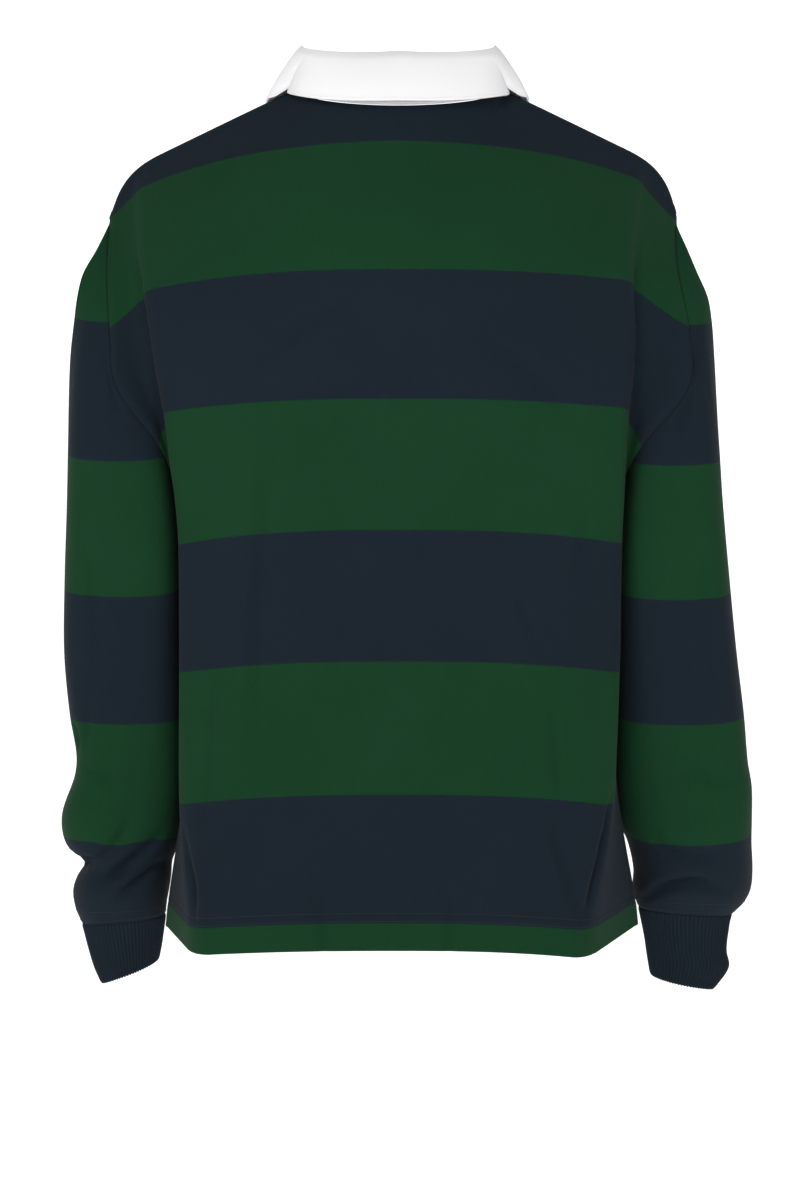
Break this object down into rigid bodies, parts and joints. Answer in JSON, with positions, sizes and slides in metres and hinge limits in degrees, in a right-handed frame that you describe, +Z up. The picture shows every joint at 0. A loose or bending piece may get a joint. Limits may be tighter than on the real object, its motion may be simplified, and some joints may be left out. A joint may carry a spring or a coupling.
{
  "type": "rugby shirt",
  "caption": "Long-sleeved striped rugby shirt in its hollow worn shape, with a folded collar, a buttoned placket and ribbed cuffs, open at neck, hem and wrists.",
  "frame": {"origin": "on the centre line at the level of the high shoulder points, mid depth of the neck, where the wearer's neck and shoulders hold the shirt up", "axes": "+Z up, +Y out of the shirt's back, +X towards the shirt's left sleeve"},
  "size_m": [0.597, 0.2434, 0.8081],
  "materials": {
    "striped_jersey": "matte cotton jersey, dark green and navy block stripes",
    "navy_rib": "matte ribbed cotton cuff",
    "white_twill": "smooth matte white cotton twill",
    "placket_band": "matte navy cotton band",
    "button": "satin off-white rubber"
  },
  "bodies": {
    "root": {"back_panel": "striped_jersey", "front_panel": "striped_jersey", "sleeve_left": "striped_jersey", "sleeve_right": "striped_jersey", "cuff_left": "navy_rib", "cuff_right": "navy_rib", "collar_stand": "white_twill", "collar_leaf": "white_twill", "placket_over": "placket_band", "placket_under": "placket_band", "placket_button_1": "button", "placket_button_2": "button", "placket_button_3": "button"}
  },
  "joints": []
}
